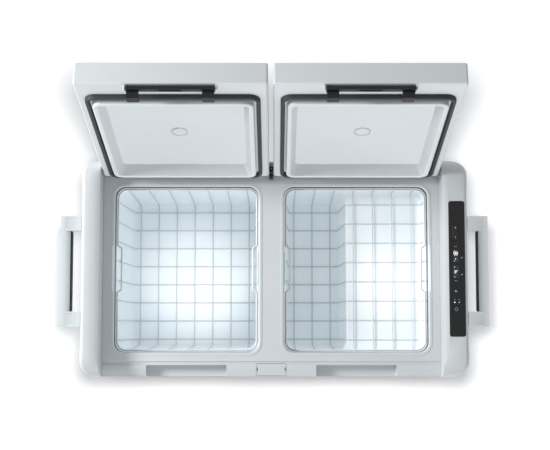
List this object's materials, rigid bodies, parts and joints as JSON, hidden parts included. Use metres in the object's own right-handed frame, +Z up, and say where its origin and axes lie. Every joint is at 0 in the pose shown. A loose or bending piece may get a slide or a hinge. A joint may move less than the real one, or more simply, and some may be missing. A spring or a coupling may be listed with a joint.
{
  "type": "compressor cooler fridge",
  "caption": "Portable dual-zone compressor cooler box with twin rear-hinged lids, lift-out wire baskets, bar latches, end carry handles and a top control panel.",
  "frame": {"origin": "middle of the cabinet's base, on the floor it stands on", "axes": "+X to the control panel end, -Y to the front (latch side), +Z up"},
  "size_m": [1.014, 0.6389, 0.8756],
  "materials": {
    "shell_grey": "satin",
    "deck_grey": "satin",
    "liner_white": "satin",
    "lid_liner_grey": "satin",
    "foam_cream": "matte",
    "gasket_black": "matte",
    "latch_black": "satin",
    "pan_charcoal": "matte",
    "rubber_black": "matte",
    "basket_wire": "satin",
    "panel_gloss": "gloss",
    "button_black": "satin",
    "display_glass": "gloss",
    "lens_clear": "gloss",
    "board_green": "satin",
    "steel": "satin",
    "aluminium": "satin",
    "copper": "satin",
    "compressor_black": "satin"
  },
  "bodies": {
    "cabinet": {"base_pan": "pan_charcoal", "foot_front_left": "rubber_black", "foot_front_right": "rubber_black", "foot_rear_left": "rubber_black", "foot_rear_right": "rubber_black", "left_end_cap": "shell_grey", "right_end_cap": "shell_grey", "front_panel": "shell_grey", "rear_panel": "shell_grey", "top_deck": "deck_grey", "centre_cover": "deck_grey", "liner_left": "liner_white", "liner_right": "liner_white", "evaporator_left": "aluminium", "evaporator_right": "aluminium", "insulation": "foam_cream", "light_left": "lens_clear", "light_right": "lens_clear", "hinge_bracket_centre": "latch_black", "hinge_pin_centre": "steel", "hinge_pin_left": "steel", "hinge_pin_right": "steel", "air_grille": "pan_charcoal", "power_inlets": "latch_black", "control_fascia": "panel_gloss", "control_board": "board_green", "display_module": "display_glass", "status_light_pipe": "lens_clear", "compressor_plate": "steel", "compressor": "compressor_black", "control_module": "pan_charcoal", "condenser_coil": "aluminium", "fan_shroud": "latch_black", "discharge_line": "copper"},
    "lid_left": {"lid_left_shell": "shell_grey", "lid_left_liner": "lid_liner_grey", "lid_left_foam": "foam_cream", "lid_left_gasket": "gasket_black", "lid_left_plug": "lid_liner_grey", "latch_left_pin": "steel"},
    "latch_left": {"latch_left_lever": "latch_black"},
    "basket_left": {"basket_left": "basket_wire"},
    "handle_left": {"handle_left": "shell_grey", "handle_left_grip": "rubber_black"},
    "lid_right": {"lid_right_shell": "shell_grey", "lid_right_liner": "lid_liner_grey", "lid_right_foam": "foam_cream", "lid_right_gasket": "gasket_black", "lid_right_plug": "lid_liner_grey", "latch_right_pin": "steel"},
    "latch_right": {"latch_right_lever": "latch_black"},
    "basket_right": {"basket_right": "basket_wire"},
    "handle_right": {"handle_right": "shell_grey", "handle_right_grip": "rubber_black"},
    "temperature_rocker": {"temperature_rocker": "button_black"},
    "mode_button": {"mode_button": "button_black"},
    "power_button": {"power_button": "button_black"},
    "fan_rotor": {"fan_rotor": "latch_black"}
  },
  "joints": [
    {"name": "lid_left_hinge", "type": "hinge", "parent": "cabinet", "child": "lid_left", "pos_m": [-0.20595, 0.2157, 0.4235], "axis": [-1, 0, 0], "range_deg": [-105.6, 0]},
    {"name": "lid_right_hinge", "type": "hinge", "parent": "cabinet", "child": "lid_right", "pos_m": [0.19175, 0.2157, 0.4235], "axis": [-1, 0, 0], "range_deg": [-105.6, 0]},
    {"name": "latch_left_pivot", "type": "hinge", "parent": "lid_left", "child": "latch_left", "pos_m": [-0.20595, 0.33258, 0.86815], "axis": [-1, 0, 0], "range_deg": [0, 15], "stiffness_Nm_per_rad": 0.5, "springref_deg": -11.46},
    {"name": "latch_right_pivot", "type": "hinge", "parent": "lid_right", "child": "latch_right", "pos_m": [0.19175, 0.33258, 0.86815], "axis": [-1, 0, 0], "range_deg": [0, 15], "stiffness_Nm_per_rad": 0.5, "springref_deg": -11.46},
    {"name": "handle_left_pivot", "type": "hinge", "parent": "cabinet", "child": "handle_left", "pos_m": [-0.457, -0.0048, 0.376], "axis": [0, -1, 0], "range_deg": [0, 75]},
    {"name": "handle_right_pivot", "type": "hinge", "parent": "cabinet", "child": "handle_right", "pos_m": [0.457, -0.0048, 0.376], "axis": [0, 1, 0], "range_deg": [0, 75]},
    {"name": "basket_left_lift", "type": "slide", "parent": "cabinet", "child": "basket_left", "axis": [0, 0, 1], "range_m": [0, 0.3]},
    {"name": "basket_right_lift", "type": "slide", "parent": "cabinet", "child": "basket_right", "axis": [0, 0, 1], "range_m": [0, 0.3]},
    {"name": "temperature_rocker_pivot", "type": "hinge", "parent": "cabinet", "child": "temperature_rocker", "pos_m": [0.4167, 0.0797, 0.464], "axis": [1, 0, 0], "range_deg": [-2.5, 2.5], "stiffness_Nm_per_rad": 0.4},
    {"name": "mode_button_press", "type": "slide", "parent": "cabinet", "child": "mode_button", "axis": [0, 0, -1], "range_m": [0, 0.0012], "stiffness_N_per_m": 400, "springref_m": -0.0005},
    {"name": "power_button_press", "type": "slide", "parent": "cabinet", "child": "power_button", "axis": [0, 0, -1], "range_m": [0, 0.0012], "stiffness_N_per_m": 400, "springref_m": -0.0005},
    {"name": "fan_spin", "type": "hinge", "parent": "cabinet", "child": "fan_rotor", "pos_m": [0.3995, 0, 0.15], "axis": [1, 0, 0], "continuous": true}
  ]
}
